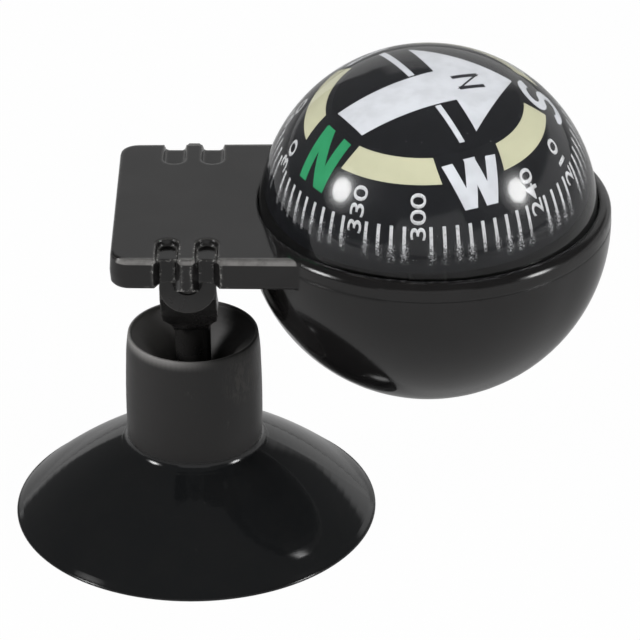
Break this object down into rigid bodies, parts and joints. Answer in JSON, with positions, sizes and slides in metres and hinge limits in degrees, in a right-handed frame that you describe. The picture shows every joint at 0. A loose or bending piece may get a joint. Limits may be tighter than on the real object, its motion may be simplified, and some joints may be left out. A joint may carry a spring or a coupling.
{
  "type": "car dashboard compass",
  "caption": "Ball compass on a suction cup: a clear liquid-filled dome over a turning card, in a bowl on a tilting plate carried by a swivelling fork.",
  "frame": {"origin": "centre of the suction cup, on the surface that its lip is pressed to", "axes": "+Z away from that surface, +X from the cup towards the compass ball, +Y to the side, away from a viewer who has the ball on the right"},
  "size_m": [0.0735, 0.0452, 0.0619],
  "materials": {
    "black_vinyl": "soft black vinyl, half gloss",
    "stem_plastic": "black moulded plastic, satin",
    "holder_plastic": "black moulded plastic, half gloss",
    "clear_plastic": "clear acrylic, polished",
    "base_plastic": "black plastic, matt",
    "seal_rubber": "black rubber",
    "plug_brass": "turned brass",
    "post_plastic": "white plastic",
    "needle_steel": "hardened steel, ground",
    "card_plastic": "black card with printed figures, ticks and arrow",
    "float_plastic": "white plastic",
    "jewel": "polished jewel",
    "magnet_steel": "magnet steel, dull"
  },
  "bodies": {
    "base": {"suction_cup": "black_vinyl"},
    "stem": {"fork_stem": "stem_plastic"},
    "ball": {"holder": "holder_plastic", "clear_dome": "clear_plastic", "capsule_base": "base_plastic", "dome_seal": "seal_rubber", "filling_plug": "plug_brass", "plug_gasket": "seal_rubber", "pivot_post": "post_plastic", "pivot_needle": "needle_steel"},
    "card": {"compass_card": "card_plastic", "card_float": "float_plastic", "jewel_cup": "jewel", "magnet_left": "magnet_steel", "magnet_right": "magnet_steel"}
  },
  "joints": [
    {"name": "stem_swivel", "type": "hinge", "parent": "base", "child": "stem", "pos_m": [0, 0, 0.0158], "axis": [0, 0, 1], "continuous": true},
    {"name": "ball_tilt", "type": "hinge", "parent": "stem", "child": "ball", "pos_m": [0, 0, 0.0387], "axis": [0, -1, 0], "range_deg": [-12, 45]},
    {"name": "card_turn", "type": "hinge", "parent": "ball", "child": "card", "pos_m": [0.0288, 0.0005, 0.04219], "axis": [-0.0262, 0.0349, 0.999], "continuous": true}
  ]
}
